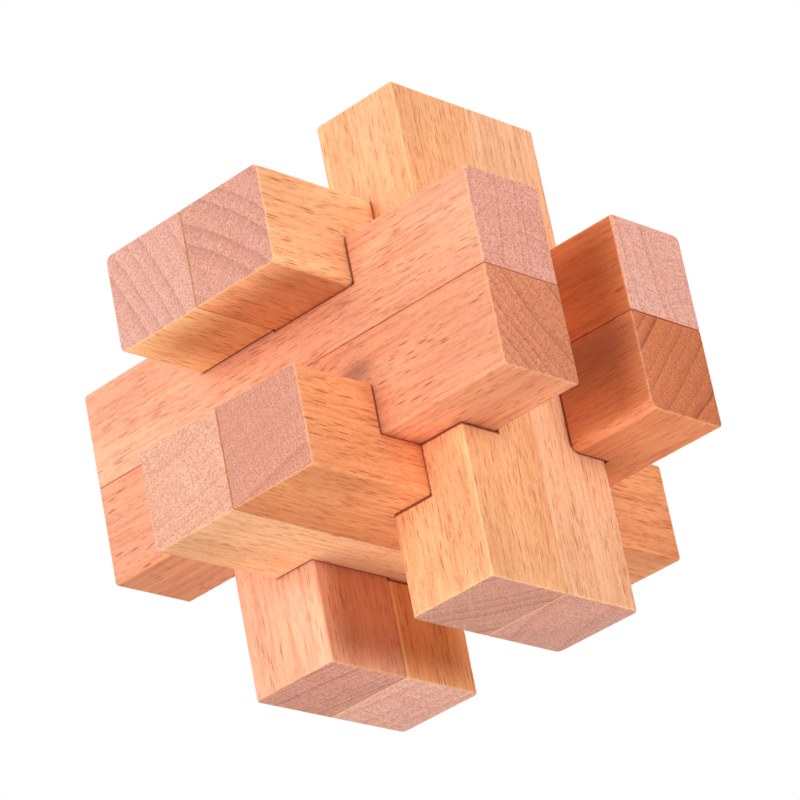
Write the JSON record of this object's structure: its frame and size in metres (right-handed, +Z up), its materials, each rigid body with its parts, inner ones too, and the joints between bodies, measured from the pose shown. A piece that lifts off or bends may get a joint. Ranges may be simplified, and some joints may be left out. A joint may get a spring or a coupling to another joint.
{
  "type": "wooden burr puzzle",
  "caption": "Interlocking wooden burr puzzle: three crossed families of notched square beech sticks in touching pairs, which slides apart into halves along either of two directions.",
  "frame": {"origin": "centre of the assembled puzzle, which is the middle of every family of sticks", "axes": "+Z up along the uprights, +X right along the crossbars, +Y back along the runners; the puzzle stands on the four lower ends of the uprights"},
  "size_m": [0.075, 0.075, 0.075],
  "materials": {
    "beech_pale": "pale beech, finely sanded, satin",
    "beech_peach": "peach beech, finely sanded, satin",
    "beech_rosy": "rosy beech, finely sanded, satin",
    "beech_tan": "tan beech, finely sanded, satin"
  },
  "bodies": {
    "lower_left_trio": {"upright_left_back": "beech_tan", "crossbar_front_lower": "beech_rosy", "runner_lower_left": "beech_peach"},
    "lower_right_trio": {"upright_right_front": "beech_peach", "crossbar_back_lower": "beech_tan", "runner_lower_right": "beech_tan"},
    "upper_left_trio": {"upright_left_front": "beech_pale", "crossbar_back_upper": "beech_peach", "runner_upper_left": "beech_rosy"},
    "upper_right_trio": {"upright_right_back": "beech_rosy", "crossbar_front_upper": "beech_pale", "runner_upper_right": "beech_pale"}
  },
  "joints": [
    {"name": "right_half_slide", "type": "slide", "parent": "lower_left_trio", "child": "lower_right_trio", "axis": [1, 0, 0], "range_m": [0, 0.08]},
    {"name": "upper_left_lift", "type": "slide", "parent": "lower_left_trio", "child": "upper_left_trio", "axis": [0, 0, 1], "range_m": [0, 0.08]},
    {"name": "upper_right_lift", "type": "slide", "parent": "lower_right_trio", "child": "upper_right_trio", "axis": [0, 0, 1], "range_m": [0, 0.08]}
  ],
  "couplings": [
    {"joint": "upper_right_lift", "follows": "upper_left_lift", "ratio": 1}
  ]
}
